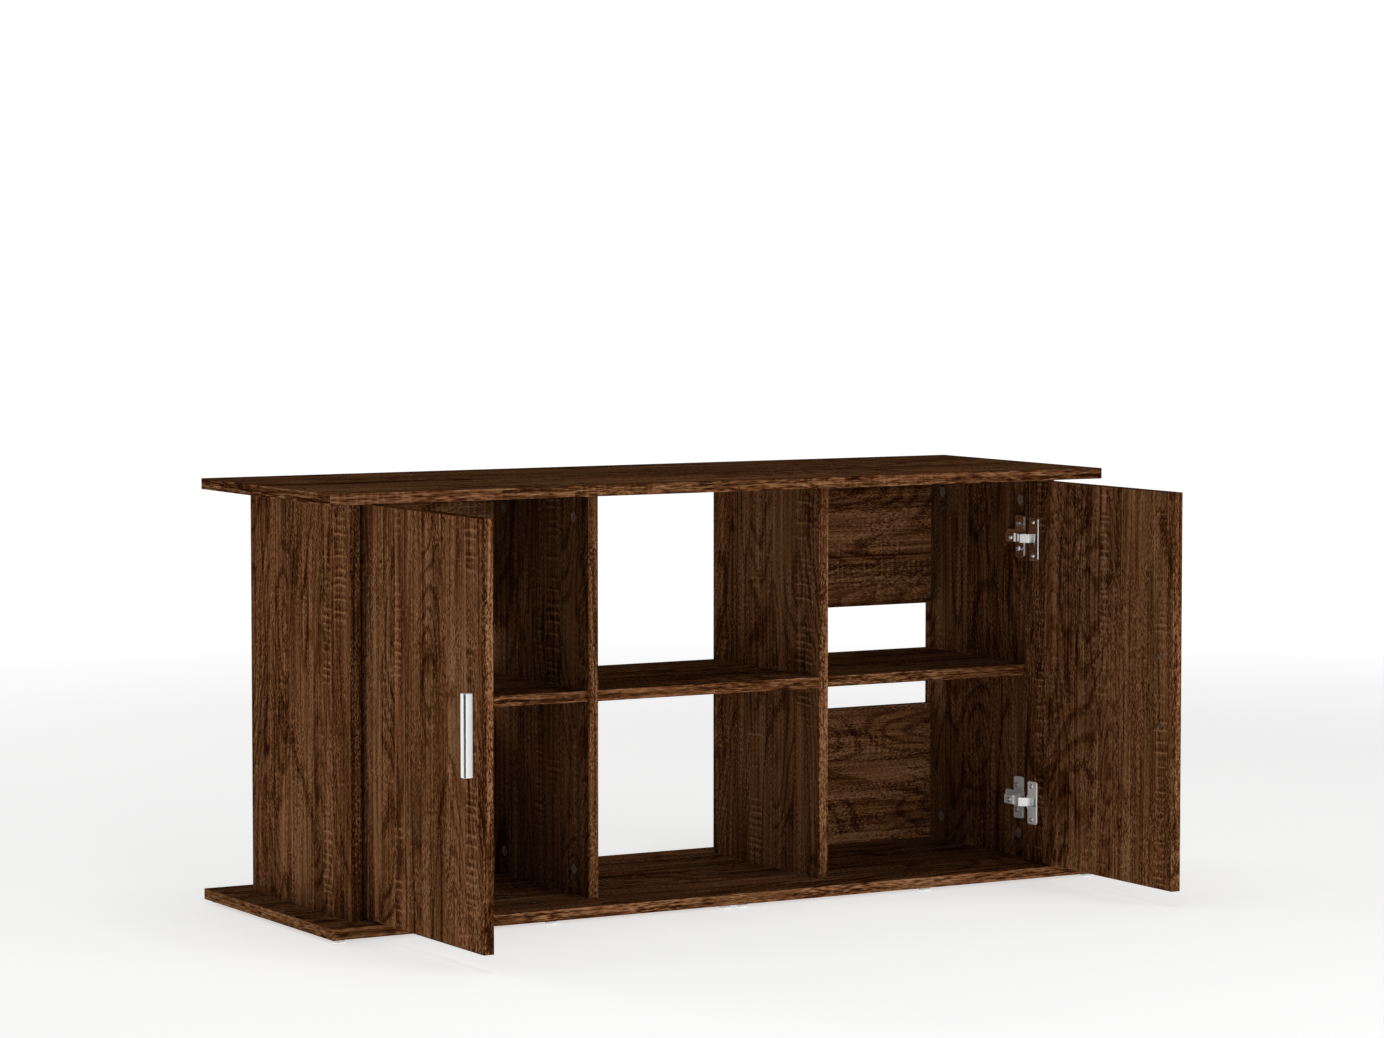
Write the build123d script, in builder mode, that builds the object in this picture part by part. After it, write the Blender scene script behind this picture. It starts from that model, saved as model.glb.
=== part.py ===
from build123d import *
import os

os.makedirs("parts", exist_ok=True)

# Aquarium stand cabinet, flat-pack board construction. Millimetres.
# Frame: X along the width (right is +X), Y to the back (the doors face -Y), Z up.
# Origin: on the floor, under the centre of the top and bottom panels.
# The doors stand open at a right angle to the front.
# Throughout, side is +1 for the right (+X) and -1 for the left.

# ---------------------------------------------------------------- carcass dimensions
width = 1210.0          # top and bottom panel, along X
depth = 410.0           # top and bottom panel, along Y
board = 15.0            # board thickness of every panel
band = 0.8              # edge banding thickness
ring_fillet = 0.5       # on the closed banding rings
strip_fillet = 0.4      # on the straight banding strips
foot_height = 5.0       # glide under the bottom panel
carcass_height = 580.0  # underside of the bottom panel to the top face

z_bottom = foot_height                    # underside of the bottom panel
z_floor = z_bottom + board                # its upper face
z_top = foot_height + carcass_height      # upper face of the top panel
z_ceiling = z_top - board                 # its underside
inner_height = z_ceiling - z_floor
z_mid = (z_floor + z_ceiling) / 2

side_x = 555.0                     # outer face of a side panel
divider_x = 175.0                  # middle-bay face of a divider
side_mid_x = side_x - board / 2
divider_mid_x = divider_x + board / 2
bay_outer_x = side_x - board       # inner face of a side panel
bay_inner_x = divider_x + board    # outer-bay face of a divider

side_front_y = -159.0   # front edge of the side panels
inner_front_y = -138.0  # front edge of the dividers and the middle shelf
swing_setback = 2.5     # the outer shelves stand back this far, clear of the doors' corners
outer_shelf_front_y = inner_front_y + swing_setback
rear_y = 154.0          # rear edge of all upright panels

# each upright's mid-plane x, and the way (+1 or -1 along X) its cam pockets face
uprights = [(-side_mid_x, 1), (side_mid_x, -1), (-divider_mid_x, -1), (divider_mid_x, 1)]
upright_x = [x for x, _ in uprights]

# each bay's x range and the front edge of its shelf
bays = {
    "left": (-bay_outer_x, -bay_inner_x, outer_shelf_front_y),
    "middle": (-divider_x, divider_x, inner_front_y),
    "right": (bay_inner_x, bay_outer_x, outer_shelf_front_y),
}

# back rails: the z range of each one's board, without the banding on its free edge
rail_height = 200.0
rail_y = rear_y - board / 2
lower_rail_top = z_floor + rail_height
upper_rail_bottom = z_ceiling - rail_height
rail_spans = {
    "lower": (z_floor, lower_rail_top - band),
    "upper": (upper_rail_bottom + band, z_ceiling),
}

# cam connectors
cam_y = (-95.0, 109.0)
cam_from_end = 34.0             # cam centre to the board's end
cam_pocket_r, cam_pocket_depth = 7.5, 12.2
bolt_bore_r = 4.0               # in the uprights
bolt_seat_r, bolt_seat_depth = 2.5, 11.2    # in the top and bottom panels

# dowels
dowel_r, dowel_bore_r = 4.0, 4.1
short_dowel, long_dowel = 30.0, 60.0
shallow = 10.0                              # a short dowel's shorter seated length
shallow_seat = shallow + 0.2
deep_seat = short_dowel - shallow + 0.2
long_dowel_seat = 22.8                      # in the shelves, either side of a divider
end_dowel_y = (-63.0, 77.0)                 # in the uprights' ends
shelf_dowel_y = (-100.0, 115.0)
rail_dowel_inset = 40.0                     # from a rail's two long edges
rail_dowel_z = [
    z_floor + rail_dowel_inset,
    z_floor + rail_height - rail_dowel_inset,
    z_ceiling - rail_height + rail_dowel_inset,
    z_ceiling - rail_dowel_inset,
]

# glides: mirrored rows along the front and rear, and one at the centre
glide_r = 8.0
glide_y = 193.0
glide_x = (-590.0, -278.0, -9.0, 18.0, 315.0, 590.0)
glide_xy = [(x, y) for x in glide_x for y in (-glide_y, glide_y)] + [(0.0, 0.0)]
nail_bore_r, nail_bore_depth = 1.05, 10.5


# ---------------------------------------------------------------- helpers
def facing(x, y, z, direction):
    """A plane at a point, looking out along a direction."""
    return Plane(origin=(x, y, z), z_dir=direction)


def around(centre, offset):
    """The two values at an offset below and above a centre."""
    return centre - offset, centre + offset


def bore(places, radius, depth):
    """Bores round holes into the current part, inward from outward-facing planes."""
    with Locations(*places):
        Hole(radius=radius, depth=depth)


def turn(profile, at, along):
    """Turns a closed profile of (radius, distance) points round the line through a point."""
    axis = Vector(*along)
    radial = Vector(1, 0, 0) if abs(axis.Z) > 0.5 else Vector(0, 0, 1)
    # this sketch has no parent here, so it is handed to revolve by name
    with BuildSketch(Plane(origin=at, x_dir=radial, z_dir=radial.cross(axis))) as half:
        with BuildLine():
            Polyline(*profile, close=True)
        make_face()
    revolve(half.sketch, axis=Axis(at, along))


def cross_recess(at, along, size, slot, deep):
    """Cuts a cross-shaped driver recess into a head."""
    with BuildSketch(Plane(origin=at, x_dir=(0, 1, 0), z_dir=along)) as cross:
        Rectangle(size, slot)
        Rectangle(slot, size)
    extrude(cross.sketch, amount=deep, mode=Mode.SUBTRACT)


def pan_screw(x, y, z, side, profile, recess):
    """A screw driven outward along X. Its profile starts at the head's top, and its
    distances run from the face under the head. The recess is (size, slot, deep)."""
    head_top = profile[0][1]
    turn(profile, (x, y, z), (side, 0, 0))
    cross_recess((x + side * head_top, y, z), (side, 0, 0), *recess)


def ring_band(plane, centre, length, height, axis):
    """A closed banding strip round a rectangular panel that lies square to an axis."""
    with BuildPart() as ring:
        with BuildSketch(plane):
            with Locations(centre):
                Rectangle(length, height)
                Rectangle(length - 2 * band, height - 2 * band, mode=Mode.SUBTRACT)
        extrude(amount=board)
        fillet(ring.faces().sort_by(axis)[-1].outer_wire().edges(), radius=ring_fillet)
        fillet(ring.faces().sort_by(axis)[0].outer_wire().edges(), radius=ring_fillet)
    return ring.part


# ---------------------------------------------------------------- top and bottom panels
def flat_panel(low_z, inner_z, inward, nail_xy=()):
    """The top or bottom panel; inner_z and inward are its face towards the uprights."""
    with BuildPart() as panel:
        with BuildSketch(Plane.XY.offset(low_z)):
            Rectangle(width - 2 * band, depth - 2 * band)
        extrude(amount=board)
        bore([facing(x, y, inner_z, inward) for x in upright_x for y in cam_y],
             bolt_seat_r, bolt_seat_depth)
        bore([facing(x, y, inner_z, inward) for x in upright_x for y in end_dowel_y],
             dowel_bore_r, shallow_seat)
        if nail_xy:
            # pilot holes of the glide nails, in the underside
            bore([facing(x, y, low_z, (0, 0, -1)) for x, y in nail_xy],
                 nail_bore_r, nail_bore_depth)
    return panel.part


def flat_panel_band(low_z):
    return ring_band(Plane.XY.offset(low_z), (0, 0), width, depth, Axis.Z)


# ---------------------------------------------------------------- upright panels
def upright(x_mid, front_y, cam_side, is_divider):
    """A standing panel. cam_side is +1 or -1, the face with the cam pockets and back rails."""
    x_face = x_mid + cam_side * board / 2
    out = (cam_side, 0, 0)
    with BuildPart() as panel:
        with BuildSketch(Plane.XY.offset(z_floor)):
            with Locations((x_mid, (front_y + rear_y) / 2)):
                Rectangle(board, rear_y - front_y - 2 * band)
        extrude(amount=inner_height)

        def both_ends(rows):
            return [facing(x_mid, y, z, (0, 0, up)) for z, up in ((z_floor, -1), (z_ceiling, 1))
                    for y in rows]

        # cam pockets and, from each end, the bolt bores that meet them
        bore([facing(x_face, y, z, out) for y in cam_y
              for z in (z_floor + cam_from_end, z_ceiling - cam_from_end)],
             cam_pocket_r, cam_pocket_depth)
        bore(both_ends(cam_y), bolt_bore_r, cam_from_end)
        bore(both_ends(end_dowel_y), dowel_bore_r, deep_seat)
        bore([facing(x_face, rail_y, z, out) for z in rail_dowel_z], dowel_bore_r, shallow_seat)
        # shelf dowels: through a divider, blind in a side panel
        bore([facing(x_face, y, z_mid, out) for y in shelf_dowel_y],
             dowel_bore_r, board if is_divider else shallow_seat)
        if not is_divider:
            # pilot holes of the hinge mounting plates
            bore([facing(x_face, plate_screw_y, screw_z, out)
                  for z in hinge_z for screw_z in around(z, plate_screw_dz)],
                 2.5, 12.0)
    return panel.part


def upright_bands(x_mid, front_y):
    """The banding strips on an upright panel's front and rear edges."""
    with BuildPart() as strips:
        with BuildSketch(Plane.XY.offset(z_floor)):
            with Locations((x_mid, front_y + band / 2), (x_mid, rear_y - band / 2)):
                Rectangle(board, band)
        extrude(amount=inner_height)
        upright_edges = strips.edges().filter_by(Axis.Z).group_by(Axis.Y)
        fillet(upright_edges[0] + upright_edges[-1], radius=strip_fillet)
    return strips.part


# ---------------------------------------------------------------- shelves
def shelf(x_low, x_high, front_y):
    with BuildPart() as plate:
        with BuildSketch(Plane.XY.offset(z_mid - board / 2)):
            with Locations(((x_low + x_high) / 2, (front_y + rear_y) / 2)):
                Rectangle(x_high - x_low, rear_y - front_y - 2 * band)
        extrude(amount=board)
        # deeper seats at a divider, for the long dowels that run through it
        for x, direction in ((x_low, -1), (x_high, 1)):
            bore([facing(x, y, z_mid, (direction, 0, 0)) for y in shelf_dowel_y],
                 dowel_bore_r, deep_seat if abs(x) == bay_outer_x else long_dowel_seat)
    return plate.part


def shelf_edge_bands():
    """Front and rear banding strips of all three shelves."""
    with BuildPart() as strips:
        for x_low, x_high, front_y in bays.values():
            with BuildSketch(Plane.YZ.offset(x_low)):
                with Locations((front_y + band / 2, z_mid), (rear_y - band / 2, z_mid)):
                    Rectangle(band, board)
            extrude(amount=x_high - x_low)
        # the middle strip's front stands forward of the outer two, and all rear faces are flush
        long_edges = strips.edges().filter_by(Axis.X)
        by_depth = long_edges.group_by(Axis.Y)
        outer_front = [edge for edge in long_edges
                       if abs(edge.center().Y - outer_shelf_front_y) < 0.01]
        fillet(list(by_depth[0]) + outer_front + list(by_depth[-1]), radius=strip_fillet)
    return strips.part


# ---------------------------------------------------------------- back rails
def back_rail(x_low, x_high, z_low, z_high):
    with BuildPart() as strip:
        with BuildSketch(Plane.XY.offset(z_low)):
            with Locations(((x_low + x_high) / 2, rail_y)):
                Rectangle(x_high - x_low, board)
        extrude(amount=z_high - z_low)
        bore([facing(x, rail_y, z, (direction, 0, 0))
              for x, direction in ((x_low, -1), (x_high, 1))
              for z in rail_dowel_z if z_low < z < z_high],
             dowel_bore_r, deep_seat)
    return strip.part


def rail_edge_bands():
    """Banding strips on the rails' free edges, which face each other across the gap."""
    with BuildPart() as strips:
        for bay in ("left", "right"):
            x_low, x_high, _ = bays[bay]
            with BuildSketch(Plane.YZ.offset(x_low)):
                with Locations((rail_y, lower_rail_top - band / 2),
                               (rail_y, upper_rail_bottom + band / 2)):
                    Rectangle(board, band)
            extrude(amount=x_high - x_low)
    return strips.part


# ---------------------------------------------------------------- door and hinge places
door_gap = 2.0                           # above and below a door
door_width = 356.0
door_height = inner_height - 2 * door_gap
door_low_z = z_floor + door_gap
pivot_x, pivot_y = 528.0, -149.0         # hinge axis of the right door
pivot_to_edge = 9.0                      # hinge axis to the door's hinge-side edge
pivot_to_face = 6.5                      # hinge axis to the door's outer face
door_out_x = pivot_x + pivot_to_face     # outer face, door open
door_in_x = door_out_x - board           # inner face, door open
door_near_y = pivot_y + pivot_to_edge    # hinge-side edge
door_free_y = door_near_y - door_width   # free edge
door_mid_y = (door_near_y + door_free_y) / 2

hinge_from_end = 84.0
hinge_z = (door_low_z + hinge_from_end, door_low_z + door_height - hinge_from_end)

# hinge cup, sunk in the door's inner face
cup_r, cup_bore_r = 14.6, 14.7
cup_depth, cup_bore_depth = 12.3, 12.5
cup_y = door_near_y - 17.8
flange_y = door_near_y - 21.5
flange_w, flange_h, flange_t = 22.0, 61.0, 1.7
cup_screw_y = flange_y + 1.2
cup_screw_dz = 24.0                      # screws above and below the cup
pin_r, pin_bore_r, pin_half = 1.25, 1.31, 9.6

# mounting plate, on the side panel's inner face
plate_y = -98.0
plate_t = 3.0
plate_screw_y = plate_y + 3.0
plate_screw_dz = 18.0
rib_top = 22.0                           # side panel to the top of the plate's rib

# hinge arm
arm_half = 6.1                           # half its width, along Z
arm_wall = 1.2
arm_high = 15.0                          # hinge axis to the top of the arm's raised end
arm_screw_y = -110.5

# (x, y) from the hinge axis, right-hand hinge
arm_section = [
    (0.0, -1.2), (-10.5, -1.2), (-19.6, 7.6), (-20.0, 8.6), (-13.0, 24.0), (-13.0, 30.0),
    (-arm_high, 30.0), (-arm_high, 51.0), (-14.0, 52.0), (-11.0, 52.0), (-11.0, 23.6),
    (-17.6, 8.5), (-9.2, 1.2), (0.0, 1.2),
]
arm_wall_section = [
    (-12.0, 24.0), (-12.0, 51.6), (4.0, 51.6), (7.6, 46.0), (7.6, 34.0), (2.0, 25.0),
    (-6.0, 20.0), (-13.0, 14.0), (-17.2, 9.6), (-18.4, 9.6),
]

# handle, a bar along Z near the door's free edge
handle_len, handle_w, handle_out = 106.0, 11.0, 12.0
handle_y = door_free_y + 32.5
handle_pitch = 96.0
handle_screw_z = around(z_mid, handle_pitch / 2)

# screws: (radius, distance from the face under the head), and recess (size, slot, deep)
handle_screw = [(0, -2.4), (2.6, -2.4), (4.0, -1.2), (4.0, 0), (1.95, 0),
                (1.95, board + 7.0), (1.4, board + 7.8), (0, board + 7.8)]
handle_screw_recess = (4.0, 0.9, 1.5)
cup_screw = [(0, -1.7), (2.2, -1.7), (3.3, -0.7), (3.3, 0), (1.5, 0), (1.5, 10.0), (0, 12.0)]
cup_screw_recess = (3.4, 0.8, 1.2)
plate_screw = [(0, -2.0), (3.0, -2.0), (4.2, -1.0), (4.2, 0), (2.4, 0), (2.4, 13.0), (0, 14.6)]
plate_screw_recess = (4.6, 1.0, 1.5)
arm_screw = [(0, -1.9), (2.8, -1.9), (3.8, -1.0), (3.8, 0), (1.95, 0), (1.95, 14.5), (0, 15.2)]
arm_screw_recess = (4.4, 1.0, 1.4)


# ---------------------------------------------------------------- doors
def door(side):
    x_face = side * door_in_x
    inward = (-side, 0, 0)
    with BuildPart() as leaf:
        with BuildSketch(Plane.XY.offset(door_low_z + band)):
            with Locations((side * (door_in_x + board / 2), door_mid_y)):
                Rectangle(board, door_width - 2 * band)
        extrude(amount=door_height - 2 * band)
        # hinge cup bores and their screw pilots
        bore([facing(x_face, cup_y, z, inward) for z in hinge_z], cup_bore_r, cup_bore_depth)
        bore([facing(x_face, cup_screw_y, screw_z, inward)
              for z in hinge_z for screw_z in around(z, cup_screw_dz)],
             1.6, 11.0)
        # handle screw holes, right through
        bore([facing(x_face, handle_y, z, inward) for z in handle_screw_z], 2.3, board)
    return leaf.part


def door_band(side):
    x_low = door_in_x if side > 0 else -door_out_x
    centre = (door_mid_y, door_low_z + door_height / 2)
    return ring_band(Plane.YZ.offset(x_low), centre, door_width, door_height, Axis.X)


# ---------------------------------------------------------------- handles
def handle(side):
    """A solid bar pull, its section drawn in plan and run up along Z."""
    x_face = side * door_out_x
    half_w = handle_w / 2
    foot_out = 1.2        # height of the narrower foot against the door
    free_step = 0.9       # foot set in, on the side of the door's free edge
    hinge_step = 2.4      # foot and underside set in, on the hinge side
    bevel = 2.2           # outer corner, free-edge side
    corner = 0.8          # outer corner, hinge side
    # (distance out from the door, y from the handle's centre)
    section = [
        (0, -half_w + free_step),
        (foot_out, -half_w + free_step),
        (foot_out, -half_w),
        (handle_out - bevel, -half_w),
        (handle_out, -half_w + bevel),
        (handle_out, half_w - corner),
        (handle_out - corner, half_w),
        (7.6, half_w),
        (6.2, half_w - hinge_step),
        (foot_out, half_w - hinge_step),
        (0, half_w - hinge_step),
    ]
    with BuildPart() as bar:
        with BuildSketch(Plane.XY.offset(z_mid - handle_len / 2)):
            with BuildLine():
                Polyline(*[(x_face + side * out, handle_y + y) for out, y in section],
                         close=True)
            make_face()
        extrude(amount=handle_len)
        chamfer(bar.faces().sort_by(Axis.Z)[-1].edges(), length=0.35)
        chamfer(bar.faces().sort_by(Axis.Z)[0].edges(), length=0.35)
        bore([facing(x_face, handle_y, z, (-side, 0, 0)) for z in handle_screw_z], 2.0, 8.2)
    return bar.part


def handle_screws(side):
    """Pan-head machine screws from the door's inner face into the handle."""
    with BuildPart() as screws:
        for z in handle_screw_z:
            pan_screw(side * door_in_x, handle_y, z, side, handle_screw, handle_screw_recess)
    return screws.part


# ---------------------------------------------------------------- concealed hinges
def hinge_cup(side, z):
    """A pressed cup sunk in the door, with a flange on the door's inner face.
    Its pocket runs out through the flange's hinge-side edge."""
    face = Plane.YZ.offset(side * door_in_x)
    x_flange = side * (door_in_x - flange_t)
    cup_floor = 0.8
    with BuildPart() as cup:
        with BuildSketch(face):
            with Locations((cup_y, z)):
                Circle(cup_r)
        extrude(amount=side * cup_depth)
        with BuildSketch(face):
            with Locations((flange_y, z)):
                RectangleRounded(flange_w, flange_h, 3.0)
        extrude(amount=-side * flange_t)
        # pocket, through the flange and down to a thin floor
        with BuildSketch(Plane.YZ.offset(x_flange)):
            with Locations((cup_y, z)):
                Circle(13.8)
            with Locations((cup_y + 1.0, z)):
                Rectangle(26.4, 14.0, mode=Mode.INTERSECT)
        extrude(amount=side * (flange_t + cup_depth - cup_floor), mode=Mode.SUBTRACT)
        # the hinge pin's seat in both cheeks
        seat_half = pin_half + 0.2
        with BuildSketch(Plane.XY.offset(z - seat_half)):
            with Locations((side * pivot_x, pivot_y)):
                Circle(pin_r + 0.02)
        extrude(amount=2 * seat_half, mode=Mode.SUBTRACT)
        # screw holes in the wings
        bore([facing(x_flange, cup_screw_y, screw_z, (-side, 0, 0))
              for screw_z in around(z, cup_screw_dz)],
             1.9, flange_t)
    return cup.part


def from_pivot(points, side):
    """Plan points of a hinge, from its table of offsets."""
    return [(side * (pivot_x + x), pivot_y + y) for x, y in points]


def hinge_arm(side, z):
    """A cranked arm: knuckle on the pin, a slope up out of the cup to a crest, then a channel
    over the mounting plate's rib, with a thicker clip end."""
    pivot = (side * pivot_x, pivot_y)
    with BuildPart() as arm:
        with BuildSketch(Plane.XY.offset(z - arm_half)):
            with Locations(pivot):
                Circle(2.3)
            with BuildLine():
                Polyline(*from_pivot(arm_section, side), close=True)
            make_face()
            with Locations(pivot):
                Circle(pin_bore_r, mode=Mode.SUBTRACT)
        extrude(amount=2 * arm_half)
        # side walls of the channel
        for low_z in (z - arm_half, z + arm_half - arm_wall):
            with BuildSketch(Plane.XY.offset(low_z)):
                with BuildLine():
                    Polyline(*from_pivot(arm_wall_section, side), close=True)
                make_face()
            extrude(amount=arm_wall)
        # screw hole in the clip end
        bore([facing(side * (pivot_x - arm_high), arm_screw_y, z, (-side, 0, 0))], 2.6, 5.0)
    return arm.part


def mounting_plate(side, z):
    """A cross-shaped plate on the side panel, with a rib that the arm's channel fits over."""
    x_plate = side * (bay_outer_x - plate_t)
    inward = (-side, 0, 0)
    screw_zs = around(z, plate_screw_dz)
    with BuildPart() as plate:
        with BuildSketch(Plane.YZ.offset(side * bay_outer_x)):
            with Locations((plate_y, z)):
                RectangleRounded(22.0, 60.0, 3.0)
            with Locations((plate_y + 3.0, z)):
                RectangleRounded(60.0, 18.0, 5.0)
        extrude(amount=-side * plate_t)
        # rib
        with BuildSketch(Plane.YZ.offset(x_plate)):
            with Locations((plate_y - 9.5, z)):
                Rectangle(21.0, 9.2)
        extrude(amount=-side * (rib_top - plate_t))
        # pressed locating bumps beside the screws
        for screw_z in screw_zs:
            turn([(0, 0), (1.7, 0), (1.4, 0.7), (0, 1.0)],
                 (x_plate, plate_y - 7.5, screw_z), inward)
        # screw holes in the wings, and the threaded hole in the rib
        bore([facing(x_plate, plate_screw_y, screw_z, inward) for screw_z in screw_zs],
             2.7, plate_t)
        bore([facing(side * (bay_outer_x - rib_top), arm_screw_y, z, inward)], 2.1, 17.0)
    return plate.part


def hinge_pins(side):
    """The hinge pins of one door, one in each cup."""
    with BuildPart() as pins:
        for z in hinge_z:
            with BuildSketch(Plane.XY.offset(z - pin_half)):
                with Locations((side * pivot_x, pivot_y)):
                    Circle(pin_r)
            extrude(amount=2 * pin_half)
    return pins.part


def cup_screws(side):
    """Pan-head chipboard screws that hold the cups in the door."""
    with BuildPart() as screws:
        for z in hinge_z:
            for screw_z in around(z, cup_screw_dz):
                pan_screw(side * (door_in_x - flange_t), cup_screw_y, screw_z, side,
                          cup_screw, cup_screw_recess)
    return screws.part


def mounting_plate_screws():
    with BuildPart() as screws:
        for side in (1, -1):
            for z in hinge_z:
                for screw_z in around(z, plate_screw_dz):
                    pan_screw(side * (bay_outer_x - plate_t), plate_screw_y, screw_z, side,
                              plate_screw, plate_screw_recess)
    return screws.part


def arm_screws():
    """Screws through the arms' clip ends into the plates' ribs."""
    with BuildPart() as screws:
        for side in (1, -1):
            for z in hinge_z:
                pan_screw(side * (pivot_x - arm_high), arm_screw_y, z, side,
                          arm_screw, arm_screw_recess)
    return screws.part


# ---------------------------------------------------------------- carcass fittings
def cam_locks():
    """Discs sunk in their pockets, each with a channel for the bolt's head."""
    disc = [(0, 0.1), (6.9, 0.1), (7.35, 0.5), (7.35, 12.0), (0, 12.0)]
    channel_reach, channel_back = 12.0, 3.0    # from the cam's centre, to and from the bolt
    channel_w, channel_start, channel_depth = 7.2, 4.0, 9.0
    with BuildPart() as locks:
        for x_mid, cam_side in uprights:
            x_face = x_mid + cam_side * board / 2
            inward = (-cam_side, 0, 0)
            for y in cam_y:
                for z, up in ((z_floor + cam_from_end, -1), (z_ceiling - cam_from_end, 1)):
                    turn(disc, (x_face, y, z), inward)
                    # the plane's local +Y points along -cam_side in Z
                    shift = -cam_side * up * (channel_reach - channel_back) / 2
                    with BuildSketch(Plane(origin=(x_face - cam_side * channel_start, y, z),
                                           x_dir=(0, 1, 0), z_dir=inward)):
                        with Locations((0, shift)):
                            Rectangle(channel_w, channel_reach + channel_back)
                    extrude(amount=channel_depth, mode=Mode.SUBTRACT)
                    cross_recess((x_face - cam_side * 0.1, y, z), inward, 6.0, 1.4, 2.2)
    return locks.part


def cam_bolts():
    """Bolts with the threaded end in the panel, the shank and head in the upright."""
    profile = [
        (0, -10.8), (1.8, -10.8), (2.4, -10.0), (2.4, 0.1), (3.8, 0.1), (3.8, 3.0), (2.6, 3.6),
        (2.6, 27.0), (1.7, 28.0), (1.7, 31.0), (3.2, 32.0), (3.2, 35.5), (2.4, 36.4), (0, 36.4),
    ]
    with BuildPart() as bolts:
        for x in upright_x:
            for y in cam_y:
                for z, into_upright in ((z_floor, 1), (z_ceiling, -1)):
                    turn(profile, (x, y, z), (0, 0, into_upright))
    return bolts.part


def dowel_profile(length):
    tip_r, taper = 3.2, 1.2
    return [(0, 0), (tip_r, 0), (dowel_r, taper), (dowel_r, length - taper),
            (tip_r, length), (0, length)]


def short_dowels():
    profile = dowel_profile(short_dowel)
    with BuildPart() as dowels:
        # uprights to top and bottom
        for x in upright_x:
            for y in end_dowel_y:
                turn(profile, (x, y, z_floor - shallow), (0, 0, 1))
                turn(profile, (x, y, z_ceiling + shallow), (0, 0, -1))
        # rails to uprights
        for side in (1, -1):
            for z in rail_dowel_z:
                turn(profile, (side * (bay_outer_x + shallow), rail_y, z), (-side, 0, 0))
                turn(profile, (side * (bay_inner_x - shallow), rail_y, z), (side, 0, 0))
        # outer shelves to side panels
        for side in (1, -1):
            for y in shelf_dowel_y:
                turn(profile, (side * (bay_outer_x + shallow), y, z_mid), (-side, 0, 0))
    return dowels.part


def long_dowels():
    """Dowels through the dividers, from shelf to shelf."""
    with BuildPart() as dowels:
        for side in (1, -1):
            for y in shelf_dowel_y:
                turn(dowel_profile(long_dowel),
                     (side * (divider_mid_x - long_dowel / 2), y, z_mid), (side, 0, 0))
    return dowels.part


# ---------------------------------------------------------------- glides
glide_pad = [
    (2.9, 0), (7.0, 0), (glide_r, 1.0), (glide_r, 2.6), (6.8, foot_height),
    (1.15, foot_height), (1.15, 2.2), (2.9, 2.2),
]
glide_nail = [(0, 0.9), (2.2, 0.9), (2.7, 1.4), (2.7, 2.1), (1.0, 2.1), (1.0, 14.0), (0, 15.2)]


def at_glides(profile):
    """One turned solid at each glide, its distances measured up from the floor."""
    with BuildPart() as solids:
        for x, y in glide_xy:
            turn(profile, (x, y, 0), (0, 0, 1))
    return solids.part


# ---------------------------------------------------------------- one file per piece
pieces = {
    "top_panel": flat_panel(z_ceiling, z_ceiling, (0, 0, -1)),
    "bottom_panel": flat_panel(z_bottom, z_floor, (0, 0, 1), glide_xy),
    "top_edge_band": flat_panel_band(z_ceiling),
    "bottom_edge_band": flat_panel_band(z_bottom),
    "shelf_edge_bands": shelf_edge_bands(),
    "rail_edge_bands": rail_edge_bands(),
    "mounting_plate_screws": mounting_plate_screws(),
    "arm_screws": arm_screws(),
    "cam_locks": cam_locks(),
    "cam_bolts": cam_bolts(),
    "short_dowels": short_dowels(),
    "long_dowels": long_dowels(),
    "glide_pads": at_glides(glide_pad),
    "glide_nails": at_glides(glide_nail),
}
for bay, (x_low, x_high, front_y) in bays.items():
    pieces[f"{bay}_shelf"] = shelf(x_low, x_high, front_y)

for name, side in (("left", -1), ("right", 1)):
    panel_x, partition_x = side * side_mid_x, side * divider_mid_x
    pieces |= {
        f"{name}_side_panel": upright(panel_x, side_front_y, -side, False),
        f"{name}_divider": upright(partition_x, inner_front_y, side, True),
        f"{name}_side_edge_bands": upright_bands(panel_x, side_front_y),
        f"{name}_divider_edge_bands": upright_bands(partition_x, inner_front_y),
        f"{name}_door": door(side),
        f"{name}_door_edge_band": door_band(side),
        f"{name}_handle": handle(side),
        f"{name}_handle_screws": handle_screws(side),
        f"{name}_hinge_pins": hinge_pins(side),
        f"{name}_cup_screws": cup_screws(side),
    }
    x_low, x_high, _ = bays[name]
    for level, z in zip(("lower", "upper"), hinge_z):
        pieces |= {
            f"{name}_{level}_back_rail": back_rail(x_low, x_high, *rail_spans[level]),
            f"{name}_{level}_hinge_cup": hinge_cup(side, z),
            f"{name}_{level}_hinge_arm": hinge_arm(side, z),
            f"{name}_{level}_mounting_plate": mounting_plate(side, z),
        }

for node, part in pieces.items():
    part.label = node
    export_step(part, f"parts/{node}.step")
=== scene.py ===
"""A low two-door cabinet in printed oak foil, with shelves, dividers, hinges and fittings.

It stands on the floor at z = 0 with its front towards -Y and its length along X. The doors
stand open, parallel to the sides. The CAD pieces keep their shapes and get materials here.
Lengths are in metres.
"""
import math
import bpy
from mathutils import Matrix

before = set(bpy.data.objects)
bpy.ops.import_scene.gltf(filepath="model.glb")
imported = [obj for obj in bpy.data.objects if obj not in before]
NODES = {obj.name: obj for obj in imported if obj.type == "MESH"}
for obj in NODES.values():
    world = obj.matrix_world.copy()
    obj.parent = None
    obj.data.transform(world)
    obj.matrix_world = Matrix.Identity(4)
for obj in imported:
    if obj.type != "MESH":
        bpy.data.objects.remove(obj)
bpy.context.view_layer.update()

import zlib

import bpy
from mathutils import Vector

scene = bpy.context.scene
scene.view_settings.view_transform = "Standard"
scene.view_settings.look = "None"
scene.view_settings.exposure = 0.0
scene.view_settings.gamma = 1.0


# ------------------------------------------------------------------ node helpers
def operators(operation):
    """The forward and reflected Python operators for a Math node."""
    return (lambda left, right: left.net.math(operation, left, right),
            lambda right, left: right.net.math(operation, left, right))


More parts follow.
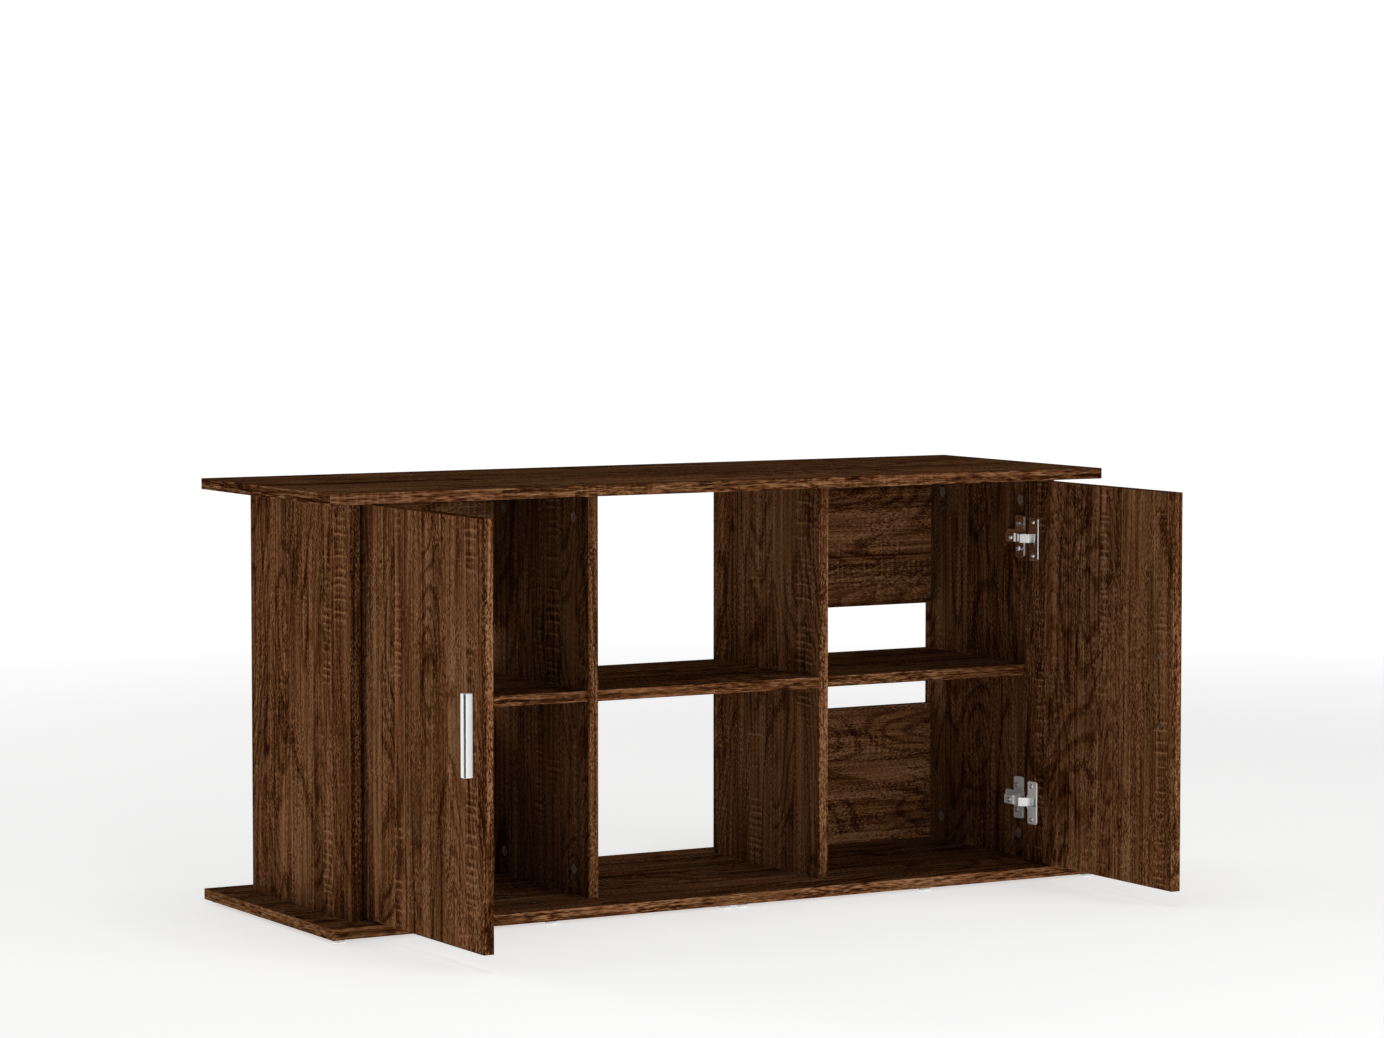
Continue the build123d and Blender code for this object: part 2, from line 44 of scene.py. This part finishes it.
class Wire:
    """A node's output. Arithmetic on it adds Math nodes, with the operands in written order."""

    def __init__(self, net, socket):
        self.net = net
        self.socket = socket

    __add__, __radd__ = operators("ADD")
    __sub__, __rsub__ = operators("SUBTRACT")
    __mul__, __rmul__ = operators("MULTIPLY")
    __pow__ = operators("POWER")[0]
    __gt__ = operators("GREATER_THAN")[0]
    __lt__ = operators("LESS_THAN")[0]

    def __abs__(self):
        return self.net.math("ABSOLUTE", self)

    def fract(self):
        return self.net.math("FRACT", self)

    def floor(self):
        return self.net.math("FLOOR", self)


class Net:
    """Short calls for building a shader node tree."""

    def __init__(self, tree):
        self.tree = tree

    def find(self, kind):
        return next(node for node in self.tree.nodes if node.type == kind)

    def fill(self, node, inputs):
        """Links or sets a node's inputs, given by name or index."""
        for key, value in inputs.items():
            if isinstance(value, Wire):
                self.tree.links.new(value.socket, node.inputs[key])
            else:
                node.inputs[key].default_value = value

    def node(self, kind, inputs=None, **settings):
        node = self.tree.nodes.new(kind)
        for key, value in settings.items():
            setattr(node, key, value)
        self.fill(node, inputs or {})
        return node

    def tap(self, node, output=0):
        return Wire(self, node.outputs[output])

    def wire(self, kind, inputs=None, output=0, **settings):
        """A new node's output."""
        return self.tap(self.node(kind, inputs, **settings), output)

    def math(self, operation, *values):
        return self.wire("ShaderNodeMath", dict(enumerate(values)), operation=operation)

    def xyz(self, x, y, z):
        return self.wire("ShaderNodeCombineXYZ", {0: x, 1: y, 2: z})

    def parts(self, vector):
        node = self.node("ShaderNodeSeparateXYZ", {0: vector})
        return [self.tap(node, i) for i in range(3)]

    def noise(self, vector, detail, rough, scale=1.0):
        return self.wire("ShaderNodeTexNoise", {
            "Vector": vector, "Scale": scale, "Detail": detail, "Roughness": rough})

    def grain(self, place, across, along, offset=None, detail=2.0, rough=0.5):
        """Noise at a place (three wires), with its own frequency across and along the grain.

        The offset moves it along the third axis, to give a pattern of its own.
        """
        first, second, third = place
        if offset is not None:
            third = third + offset
        return self.noise(self.xyz(first * across, second * along, third), detail, rough)

    def cells(self, place, dims, feature="F1", randomness=1.0):
        return self.node("ShaderNodeTexVoronoi", {
            "W" if dims == "1D" else "Vector": place, "Scale": 1.0, "Randomness": randomness,
        }, feature=feature, voronoi_dimensions=dims)

    def span(self, value, over, to):
        """A smooth step that takes the range `over` to the range `to`."""
        return self.wire("ShaderNodeMapRange", dict(enumerate((value, *over, *to))),
                         interpolation_type="SMOOTHSTEP", clamp=True)

    def rise(self, value, over):
        return self.span(value, over, to=(0.0, 1.0))

    def fall(self, value, over):
        return self.span(value, over, to=(1.0, 0.0))

    def blend(self, factor, first, second):
        return self.wire("ShaderNodeMix", {0: factor, 2: first, 3: second}, data_type="FLOAT")

    def pick(self, factor, first, second):
        """Mixes two vectors."""
        return self.wire("ShaderNodeMix", {0: factor, 4: first, 5: second}, output=1,
                         data_type="VECTOR")

    def tint(self, factor, first, second, mode="MIX"):
        """Mixes two colours."""
        return self.wire("ShaderNodeMix", {0: factor, 6: first, 7: second}, output=2,
                         data_type="RGBA", blend_type=mode)

    def mix_shaders(self, factor, first, second):
        return self.wire("ShaderNodeMixShader", {0: factor, 1: first, 2: second})

    def ramp(self, value, stops):
        """A colour ramp through stops of (position, colour)."""
        node = self.node("ShaderNodeValToRGB", {0: value})
        elements = node.color_ramp.elements
        while len(elements) > 1:
            elements.remove(elements[-1])
        elements[0].position = stops[0][0]
        elements[0].color = (*stops[0][1], 1)
        for position, colour in stops[1:]:
            elements.new(position).color = (*colour, 1)
        return self.tap(node)

    def bump(self, height, strength, distance, **normal):
        return self.wire("ShaderNodeBump", {
            "Strength": strength, "Distance": distance, "Height": height, **normal})


def new_material(name):
    """A material, its net and its Principled shader."""
    material = bpy.data.materials.new(name)
    material.use_nodes = True
    net = Net(material.node_tree)
    return material, net, net.find("BSDF_PRINCIPLED")


def shaded(colour, factor):
    return tuple(channel * factor for channel in colour) + (1,)


# ------------------------------------------------------------------ oak print
# The group's number inputs and their defaults
OAK_INPUTS = {"Seed": 0.0, "Tone": 0.0, "Contrast": 1.0, "Figure": 1.0, "Marks": 1.0, "Fibre": 1.0}
OAK_OUTPUTS = {"Colour": "NodeSocketColor", "Roughness": "NodeSocketFloat",
               "Height": "NodeSocketFloat"}
# Lightness level, and linear colour there
OAK_STOPS = [
    (0.00, (0.0170, 0.0046, 0.0013)),
    (0.25, (0.0450, 0.0148, 0.0045)),
    (0.50, (0.0960, 0.0380, 0.0142)),
    (0.75, (0.1650, 0.0735, 0.0310)),
    (1.00, (0.2500, 0.1260, 0.0640)),
]
OAK_LEVEL = 0.595  # lightness before the pattern is added
YELLOWER = (0.98, 1.02, 1.0, 1.0)
REDDER = (1.03, 0.98, 0.98, 1.0)


def growth_rings(net, staves, stave_parts, wobble, figure):
    """Ring lines: cathedral figure on some staves, fine straight lines on the rest."""
    _, shift, choice = stave_parts
    field = net.grain(staves, across=8.0, along=1.5, offset=shift * 4.0, detail=0.5, rough=0.3)
    wide = (field * 40.0 + wobble * 0.9).fract()
    wide_line = wide ** 1.8 * net.fall(wide, over=(0.78, 1.0))
    figured = net.rise(choice, over=(0.58, 0.64)) * figure
    field = net.grain(staves, across=30.0, along=0.8, detail=1.5)
    narrow = (field * 9.0).fract()
    narrow_line = narrow ** 3.0 * net.fall(narrow, over=(0.86, 1.0))
    return net.blend(figured, narrow_line * 0.55, wide_line * 1.15)


def long_veins(net, staves):
    """A few long dark veins that wander along the board, single or in pairs."""
    field = net.grain(staves, across=13.0, along=1.9, offset=27.0, detail=1.5, rough=0.45)
    line = abs((field * 6.0).fract() - 0.5)
    gate = net.grain(staves, across=9.0, along=3.0, offset=37.0, detail=1.5)
    return net.fall(line, over=(0.015, 0.11)) * net.rise(gate, over=(0.46, 0.58))


def slanting_sweeps(net, staves, wobble, figure):
    """Slanting dark lines here and there, where the saw crossed the rings at an angle."""
    field = net.grain(staves, across=9.0, along=3.2, offset=45.0, detail=1.2, rough=0.4)
    line = abs((field * 17.0 + wobble * 0.3).fract() - 0.5)
    gate = net.grain(staves, across=8.0, along=2.6, offset=53.0, detail=1.5)
    return net.fall(line, over=(0.04, 0.26)) * net.rise(gate, over=(0.47, 0.54)) * figure


def open_pores(net, fibres):
    """Short dark dashes that gather in the early wood."""
    field = net.grain(fibres, across=1400.0, along=90.0, offset=12.0, detail=1.0)
    gate = net.grain(fibres, across=90.0, along=5.0, offset=14.0)
    return net.rise(field, over=(0.58, 0.66)) * net.rise(gate, over=(0.40, 0.60))


def saw_marks(net, surface, ripple, marks):
    """Ladders of short rungs across the grain, and stray ticks.

    Returns the ladders' strength, the pale part of a rung, the dark line just past it along
    the grain, and the ticks.
    """
    across, along, seed = surface
    ladder = net.cells(across * 13.0 + seed * 3.71, "1D", randomness=0.9)
    red, green, blue = net.parts(net.tap(ladder, "Color"))
    off = net.tap(ladder, "Distance")  # from the ladder's centre line
    lean = green - 0.5
    drift = net.grain((along, red, seed), across=38.0, along=9.0, detail=1.0)
    curved = (along + off * off * 0.012 + across * lean * 0.07 + ripple * 0.006
              + drift * 0.014)

    beat = curved * 104.0  # rungs per metre
    cell = net.xyz(beat.floor(), (red * 997.0).floor(), (seed * 13.0).floor())
    luck = net.wire("ShaderNodeTexWhiteNoise", {"Vector": cell}, output="Value")
    phase = beat.fract()
    pale = net.rise(phase, over=(0.02, 0.16)) * net.fall(phase, over=(0.24, 0.42))
    dark = net.rise(phase, over=(0.36, 0.56)) * net.fall(phase, over=(0.66, 0.90))

    reach = (0.13 + red * 0.15) * (0.45 + luck * 0.75)  # half a rung's length
    ragged = (net.grain(surface, across=300.0, along=300.0, rough=0.6) - 0.5) * 0.10
    inside = net.fall(off + ragged, over=(reach * 0.75, reach * 1.15))
    gate = net.grain((along, green, seed), across=6.0, along=23.0, offset=31.0, rough=0.55)
    gate = net.rise(gate, over=(0.46, 0.56)) * net.rise(blue, over=(0.42, 0.50))
    broken = net.span(net.grain(surface, across=520.0, along=60.0, rough=0.6),
                      over=(0.30, 0.60), to=(0.25, 1.0))
    ladders = (inside * gate * (broken * marks)
               * net.span(luck, over=(0.05, 0.8), to=(0.15, 1.0)))

    tick_gate = net.rise(net.grain(surface, across=15.0, along=7.0, offset=21.0, detail=1.5),
                         over=(0.58, 0.66))
    ticks = net.cells(net.xyz(across * 42.0, curved * 150.0, seed + 1.0), "2D")
    chance = net.parts(net.tap(ticks, "Color"))[0]
    tick = (net.fall(net.tap(ticks, "Distance"), over=(0.14, 0.42))
            * net.rise(chance, over=(0.45, 0.80)))
    stray = tick * tick_gate * (broken * marks)
    return ladders, pale, dark, stray


def oak_group():
    """Printed oak foil. Position is (across the grain, along the grain, depth) in metres."""
    tree = bpy.data.node_groups.new("oak_print", "ShaderNodeTree")
    tree.interface.new_socket("Position", in_out="INPUT", socket_type="NodeSocketVector")
    for label, default in OAK_INPUTS.items():
        socket = tree.interface.new_socket(label, in_out="INPUT", socket_type="NodeSocketFloat")
        socket.default_value = default
    for label, kind in OAK_OUTPUTS.items():
        tree.interface.new_socket(label, in_out="OUTPUT", socket_type=kind)
    net = Net(tree)
    source = net.node("NodeGroupInput")
    sink = net.node("NodeGroupOutput")
    seed, tone, contrast, figure, marks, fibre = [net.tap(source, label) for label in OAK_INPUTS]
    across, along, through = net.parts(net.tap(source, "Position"))
    depth = seed + through * 3.0
    surface = (across, along, seed)

    # slow wander of the grain, a smaller ripple and a fine wobble of the fibres
    wander = net.grain(surface, across=5.0, along=1.5, offset=3.0) - 0.5
    ripple = net.grain(surface, across=30.0, along=8.0, offset=9.0) - 0.5
    wobble = net.grain(surface, across=160.0, along=60.0, offset=6.0, detail=1.0) - 0.5
    bent = across + wander * 0.016 + ripple * 0.0034 + wobble * 0.0010
    fibres = (bent, along, depth)

    # staves: strips of different boards side by side, each shifted along the grain
    strip = bent * 15.0 + seed * 5.13
    stave_parts = net.parts(net.tap(net.cells(strip, "1D"), "Color"))
    stave_edge = net.cells(strip, "1D", feature="DISTANCE_TO_EDGE")
    seam = net.fall(net.tap(stave_edge, "Distance"), over=(0.0, 0.02))
    staves = (bent, along + stave_parts[0] * 3.0, depth)

    rings = growth_rings(net, staves, stave_parts, wobble, figure)
    long_streak = net.grain(staves, across=330.0, along=4.0, detail=3.0, rough=0.62)
    mid_streak = net.grain(staves, across=75.0, along=2.2, offset=4.0)
    short_fibre = net.noise(net.xyz(bent * 620.0, along * 210.0 * fibre, depth + 5.0),
                            detail=2.0, rough=0.60)
    patch = net.span(net.grain(staves, across=26.0, along=9.0, offset=19.0),
                     over=(0.35, 0.65), to=(0.55, 1.45))
    fine = net.grain(fibres, across=2300.0, along=160.0, offset=8.0, detail=1.0)
    broad = net.grain(staves, across=20.0, along=1.4, offset=2.0)
    veins = long_veins(net, staves)
    sweeps = slanting_sweeps(net, staves, wobble, figure)
    pores = open_pores(net, fibres)
    ladders, pale, dark, stray = saw_marks(net, surface, ripple, marks)

    # each number is how far that feature moves the lightness
    swing = (
        (long_streak - 0.5) * 1.25
        + (mid_streak - 0.5) * 0.75
        + (short_fibre - 0.5) * 1.75 * patch
        + (fine - 0.5) * 0.40
        + (broad - 0.5) * 0.45
        + (stave_parts[1] - 0.5) * 0.12
        + rings * -0.36
        + veins * -0.30
        + sweeps * -0.27
        + pores * -0.24
        + seam * -0.08
        + ladders * pale * 0.44
        + ladders * dark * -0.20
        + stray * 0.26
    )
    colour = net.ramp(OAK_LEVEL + swing * contrast + tone, OAK_STOPS)
    # a slow drift between yellower and redder brown
    drift = net.grain(staves, across=34.0, along=5.0, offset=17.0)
    colour = net.tint(net.rise(drift, over=(0.35, 0.65)),
                      net.tint(1.0, colour, YELLOWER, "MULTIPLY"),
                      net.tint(1.0, colour, REDDER, "MULTIPLY"))
    net.fill(sink, {
        "Colour": colour,
        "Roughness": 0.58 + pores * 0.16 + (short_fibre - 0.5) * 0.20 + ladders * -0.05,
        "Height": (pores * -1.0 + (short_fibre - 0.5) * 0.7 + (fine - 0.5) * 0.5
                   + rings * -0.25),
    })
    return tree


OAK = oak_group()
PRINT_SHIFT = (0.0, 0.0)  # moves every print across and along its grain
OAK_BOUNCE = (0.15, 0.12, 0.10, 1)  # colour that diffuse bounces see


def seed_of(name):
    """A steady number from 0 to 40 for a piece's name."""
    return (zlib.crc32(name.encode()) % 4001) / 100.0


def oak(piece, layout, tone=0.0, contrast=1.0, figure=1.0, marks=1.0, fibre=1.0):
    """The oak print for one piece.

    layout gives the object axes that run across, along and through the print, such as "YZX".
    A second layout after a slash, with the axis whose faces use it, is for strips that turn
    a corner: "XZY/XYZ:Z".
    """
    material, net, shader = new_material("oak_" + piece)
    coords = net.node("ShaderNodeTexCoord")
    axes = dict(zip("XYZ", net.parts(net.tap(coords, "Object"))))

    def arranged(order):
        across, along, through = (axes[axis] for axis in order)
        return net.xyz(across + PRINT_SHIFT[0], along + PRINT_SHIFT[1], through)

    if "/" in layout:
        first, rest = layout.split("/")
        second, face = rest.split(":")
        normal = dict(zip("XYZ", net.parts(net.tap(coords, "Normal"))))
        turned = abs(normal[face]) > 0.7
        position = net.pick(turned, arranged(first), arranged(second))
    else:
        position = arranged(layout)
    wood = net.node("ShaderNodeGroup", node_tree=OAK)
    net.fill(wood, {"Position": position, "Seed": seed_of(piece), "Tone": tone,
                    "Contrast": contrast, "Figure": figure, "Marks": marks, "Fibre": fibre})
    # light that bounces between the boards is kept paler and less red than the print itself
    bounced = net.wire("ShaderNodeLightPath", output="Is Diffuse Ray")
    net.fill(shader, {
        "Base Color": net.tint(bounced, net.tap(wood, "Colour"), OAK_BOUNCE),
        "Roughness": net.tap(wood, "Roughness"),
        "Specular IOR Level": 0.0,
        "Normal": net.bump(net.tap(wood, "Height"), strength=0.35, distance=0.00012),
    })
    return material


def dress(piece, material):
    target = NODES[piece]
    target.data.materials.clear()
    target.data.materials.append(material)


VERTICAL, LEVEL, RAIL = "YZX", "YXZ", "ZXY"
BOARDS = {  # layout, and changes to the print
    "top_panel": (LEVEL, {"marks": 0.8}),
    "bottom_panel": (LEVEL, {}),
    "left_side_panel": (VERTICAL, {}),
    "right_side_panel": (VERTICAL, {}),
    "left_divider": (VERTICAL, {}),
    "right_divider": (VERTICAL, {}),
    "left_shelf": (LEVEL, {}),
    "middle_shelf": (LEVEL, {}),
    "right_shelf": (LEVEL, {}),
    "left_lower_back_rail": (RAIL, {"marks": 0.6}),
    "left_upper_back_rail": (RAIL, {"marks": 0.6}),
    # the right lower rail's lighter tone is painted light, low in the bay
    "right_lower_back_rail": (RAIL, {"marks": 0.6, "tone": 0.06}),
    "right_upper_back_rail": (RAIL, {"marks": 0.6, "tone": -0.04}),
    "left_door": (VERTICAL, {}),
    "right_door": (VERTICAL, {}),
}
LYING, STANDING = 0.28, 1.0  # how often fibres repeat along a band
BANDS = {  # layout, fibre and tone
    "top_edge_band": ("ZXY/ZYX:X", LYING, 0.0),
    # the bottom band's lighter tone is painted light, low down by the floor
    "bottom_edge_band": ("ZXY/ZYX:X", LYING, 0.09),
    # the left side bands' darker tone is painted shade from the open left door
    "left_side_edge_bands": ("XZY", STANDING, -0.12),
    "right_side_edge_bands": ("XZY", STANDING, 0.0),
    "left_divider_edge_bands": ("XZY", STANDING, 0.0),
    "right_divider_edge_bands": ("XZY", STANDING, -0.03),
    "shelf_edge_bands": ("ZXY", LYING, -0.07),
    "rail_edge_bands": ("YXZ", LYING, 0.0),
    "left_door_edge_band": ("XZY/XYZ:Z", STANDING, -0.20),
    "right_door_edge_band": ("XZY/XYZ:Z", STANDING, 0.0),
}
for piece, (layout, changes) in BOARDS.items():
    dress(piece, oak(piece, layout, **changes))
for piece, (layout, fibre, tone) in BANDS.items():
    band = oak(piece, layout, tone=tone, contrast=1.25, figure=0.5, marks=0.3, fibre=fibre)
    dress(piece, band)


# ------------------------------------------------------------------ metals, plastics, beech
def metal(name, base, roughness, brushed=False, mottle=0.0, edge=0.0004, satin=0.0,
          polished_bevel=False, metallic=1.0):
    """A metal with edges rounded to the radius `edge`, brushed along Z if asked.

    satin is how matt the faces towards -Y are. With a polished bevel it goes for all faces
    but those between -Y and an X side.
    """
    material, net, shader = new_material(name)
    coords = net.node("ShaderNodeTexCoord")
    place = net.tap(coords, "Object")
    normal_x, normal_y, _ = net.parts(net.tap(coords, "Normal"))
    cloudy = net.noise(place, detail=3.0, rough=0.6, scale=70.0)
    if brushed:
        x, y, z = net.parts(place)
        streak = net.noise(net.xyz(x * 6000.0, y * 6000.0, z * 60.0), detail=3.0, rough=0.7)
    else:
        streak = net.noise(place, detail=4.0, rough=0.6, scale=900.0)
    colour = net.tint(net.span(cloudy, over=(0.3, 0.7), to=(0.0, 0.20)),
                      (*base, 1), shaded(base, 0.80))
    if mottle:
        colour = net.tint(net.span(streak, over=(0.45, 0.65), to=(0.0, mottle)),
                          colour, shaded(base, 0.5))
    if polished_bevel:
        corner = (abs(normal_x) > 0.45) * (normal_y < -0.45)
        matt = (1.0 - corner) * satin
    else:
        matt = net.fall(normal_y, over=(-0.98, -0.90)) * satin
    rounded = net.wire("ShaderNodeBevel", {"Radius": edge}, samples=4)
    net.fill(shader, {
        "Base Color": colour,
        "Metallic": (1.0 - matt) * metallic,
        "Roughness": roughness + matt * 0.30 + (streak - 0.5) * 0.14 + (cloudy - 0.5) * 0.08,
        "Normal": net.bump(streak, strength=0.10, distance=0.00005, Normal=rounded),
    })
    return material


def plastic(name, base, roughness, subsurface=0.0):
    material, net, shader = new_material(name)
    place = net.wire("ShaderNodeTexCoord", output="Object")
    grain = net.noise(place, detail=3.0, rough=0.6, scale=1400.0)
    cloudy = net.noise(place, detail=2.0, rough=0.5, scale=120.0)
    net.fill(shader, {
        "Base Color": net.tint(net.span(cloudy, over=(0.3, 0.7), to=(0.0, 0.25)),
                               (*base, 1), shaded(base, 0.88)),
        "Roughness": roughness + (grain - 0.5) * 0.15,
        "Subsurface Weight": subsurface,
        "Subsurface Radius": (0.004, 0.004, 0.004),
        "Subsurface Scale": 1.0,
        "Normal": net.bump(grain, strength=0.15, distance=0.00004),
    })
    return material


def beech():
    material, net, shader = new_material("raw_beech")
    place = net.wire("ShaderNodeTexCoord", output="Object")
    fleck = net.noise(place, detail=4.0, rough=0.6, scale=800.0)
    stops = [(0.25, (0.42, 0.26, 0.14)), (0.5, (0.62, 0.43, 0.26)), (0.8, (0.72, 0.55, 0.36))]
    net.fill(shader, {
        "Base Color": net.ramp(fleck, stops),
        "Roughness": 0.62,
        "Normal": net.bump(fleck, strength=0.3, distance=0.0001),
    })
    return material


aluminium = metal("satin_aluminium", base=(0.98, 0.985, 0.99), roughness=0.16, brushed=True,
                  edge=0.0002, satin=1.0, polished_bevel=True)
nickel = metal("nickel_plate", base=(0.88, 0.87, 0.85), roughness=0.18, edge=0.0003, satin=1.0)
# the lower hinges get a paler, less metallic copy of the same nickel plate: painted light, so they
# read lighter grey than the upper ones
lit_nickel_copy = metal("nickel_plate_painted_lighter", base=(0.95, 0.95, 0.93), roughness=0.40, edge=0.0003,
                    satin=1.0, metallic=0.35)
steel = metal("zinc_plated_steel", base=(0.72, 0.72, 0.71), roughness=0.30, edge=0.0002)
# the cams' brown base colour is a painted reflection of the oak boards round them; the zinc itself
# is grey
zinc = metal("cast_zinc", base=(0.27, 0.205, 0.145), roughness=0.55, mottle=0.5, edge=0.0003,
             metallic=0.35)
milky = plastic("milky_plastic", base=(0.58, 0.59, 0.58), roughness=0.42, subsurface=0.3)
brown_lacquer = plastic("brown_lacquer", base=(0.060, 0.030, 0.016), roughness=0.40)
raw_beech = beech()

for piece in ("short_dowels", "long_dowels"):
    dress(piece, raw_beech)
for side in ("left", "right"):
    dress(side + "_handle", aluminium)
    dress(side + "_handle_screws", brown_lacquer)
    dress(side + "_cup_screws", steel)
    dress(side + "_hinge_pins", steel)
    # the lower hinges take the paler copy of the nickel plate, which is painted light
    for level, plating in (("upper", nickel), ("lower", lit_nickel_copy)):
        for part in ("hinge_cup", "hinge_arm", "mounting_plate"):
            dress(f"{side}_{level}_{part}", plating)
dress("mounting_plate_screws", steel)
dress("arm_screws", steel)
dress("cam_locks", zinc)
dress("cam_bolts", zinc)
dress("glide_pads", milky)
dress("glide_nails", steel)


# ------------------------------------------------------------------ floor, light, camera
WHITE = (1, 1, 1, 1)
FLOOR_RADIUS, FLOOR_SIDES = 60.0, 96
FLOOR_FADE = (1.6, 4.5)  # distances from the centre where the fade starts and ends


def add_object(name, data):
    added = bpy.data.objects.new(name, data)
    scene.collection.objects.link(added)
    return added


def add_face(name, corners):
    """An object with a single face."""
    mesh = bpy.data.meshes.new(name)
    mesh.from_pydata(corners, [], [list(range(len(corners)))])
    return add_object(name, mesh)


def point(target, direction):
    """Turns a lamp or camera to look along a direction."""
    target.rotation_mode = "QUATERNION"
    target.rotation_quaternion = direction.to_track_quat("-Z", "Y")


def floor_material():
    material, net, shader = new_material("pale_floor")
    place = net.wire("ShaderNodeTexCoord", output="Object")
    soft = net.noise(place, detail=4.0, rough=0.6, scale=2.0)
    x, y, _ = net.parts(place)
    far = net.math("SQRT", x * x + y * y)
    # nearby the floor glows a little, like a lit table, and less so to the camera
    to_camera = net.wire("ShaderNodeLightPath", output="Is Camera Ray")
    net.fill(shader, {
        "Base Color": net.tint(soft, (0.86, 0.86, 0.855, 1), (0.90, 0.90, 0.895, 1)),
        "Roughness": 0.85,
        "Specular IOR Level": 0.1,
        "Emission Color": WHITE,
        "Emission Strength": net.blend(to_camera, 0.84, 0.50),
    })
    # far away it runs into the white of the studio
    white = net.wire("ShaderNodeEmission", {"Color": WHITE, "Strength": 1.05})
    seen = net.mix_shaders(net.rise(far, over=FLOOR_FADE), net.tap(shader), white)
    # seen from below, it is clear
    behind = net.wire("ShaderNodeNewGeometry", output="Backfacing")
    clear = net.wire("ShaderNodeBsdfTransparent")
    net.fill(net.find("OUTPUT_MATERIAL"), {"Surface": net.mix_shaders(behind, seen, clear)})
    return material


def plain_floor():
    turns = [2 * math.pi * k / FLOOR_SIDES for k in range(FLOOR_SIDES)]
    floor = add_face("floor", [
        (FLOOR_RADIUS * math.cos(turn), FLOOR_RADIUS * math.sin(turn), 0.0) for turn in turns])
    floor.data.materials.append(floor_material())


def studio():
    """A white world to the camera, and a dim one as a light."""
    world = bpy.data.worlds.new("studio")
    scene.world = world
    world.use_nodes = True
    net = Net(world.node_tree)
    lighting = net.find("BACKGROUND")
    net.fill(lighting, {"Color": WHITE, "Strength": 0.2})
    seen = net.wire("ShaderNodeBackground", {"Color": WHITE, "Strength": 1.0})
    to_camera = net.wire("ShaderNodeLightPath", output="Is Camera Ray")
    net.fill(net.find("OUTPUT_WORLD"), {
        "Surface": net.mix_shaders(to_camera, net.tap(lighting), seen)})


# Wide soft lamps round the cabinet: the strongest low in front, the rest filling in.
LAMP_DISTANCE = 5
LAMP_SIZE = 2.4
AIM_HEIGHT = 0.3
LAMPS = [  # name, degrees round from the front towards +X, degrees up, watts
    ("front", 0, 1, 129),
    ("front_right", 30, 15, 45),
    ("front_left", -30, 12, 8),
    ("left", -90, 12, 24.5),
    ("back_left", -150, 20, 33.5),
    ("overhead", 0, 88, 36),
]


def softbox(name, azimuth, elevation, power):
    lamp = bpy.data.lights.new(name, "AREA")
    lamp.shape = "RECTANGLE"
    lamp.size = lamp.size_y = LAMP_SIZE
    lamp.energy = power
    box = add_object(name, lamp)
    box.location = (LAMP_DISTANCE * math.sin(azimuth) * math.cos(elevation),
                    -LAMP_DISTANCE * math.cos(azimuth) * math.cos(elevation),
                    LAMP_DISTANCE * math.sin(elevation) + AIM_HEIGHT)
    point(box, Vector((0, 0, AIM_HEIGHT)) - box.location)
    box.visible_camera = False


def dark_card():
    """A dark card beside the left door that only reflections see.

    It puts the grey line on the handle's bevel.
    """
    foot = Vector((-1.62, -1.12, 0))  # middle of the lower edge
    half = Vector((-0.455, 0.89, 0)).normalized() * 0.45
    rise = Vector((0, 0, 0.62))
    card = add_face("dark_card", [foot - half, foot + half, foot + half + rise,
                                  foot - half + rise])
    material, net, shader = new_material("dark_card")
    place = net.wire("ShaderNodeTexCoord", output="Object")
    net.fill(shader, {
        "Base Color": net.tint(net.noise(place, detail=2.0, rough=0.5, scale=8.0),
                               (0.030, 0.030, 0.032, 1), (0.045, 0.045, 0.047, 1)),
        "Roughness": 0.9,
    })
    card.data.materials.append(material)
    for ray in ("camera", "diffuse", "shadow", "transmission"):
        setattr(card, "visible_" + ray, False)


def camera():
    """A long lens in front and to the left, looking slightly down."""
    data = bpy.data.cameras.new("camera")
    data.sensor_fit = "HORIZONTAL"
    data.sensor_width = 36.0
    data.lens = 115.746
    data.clip_start = 0.1
    data.clip_end = 200.0
    viewer = add_object("camera", data)
    viewer.location = (-3.05155, -5.39206, 0.94058)
    yaw, pitch = 0.52209, 0.06768  # radians: from +Y towards +X, and down
    point(viewer, Vector((math.sin(yaw) * math.cos(pitch), math.cos(yaw) * math.cos(pitch),
                          -math.sin(pitch))))
    scene.camera = viewer


plain_floor()
studio()
for name, azimuth, elevation, power in LAMPS:
    softbox(name, math.radians(azimuth), math.radians(elevation), power)
dark_card()
camera()
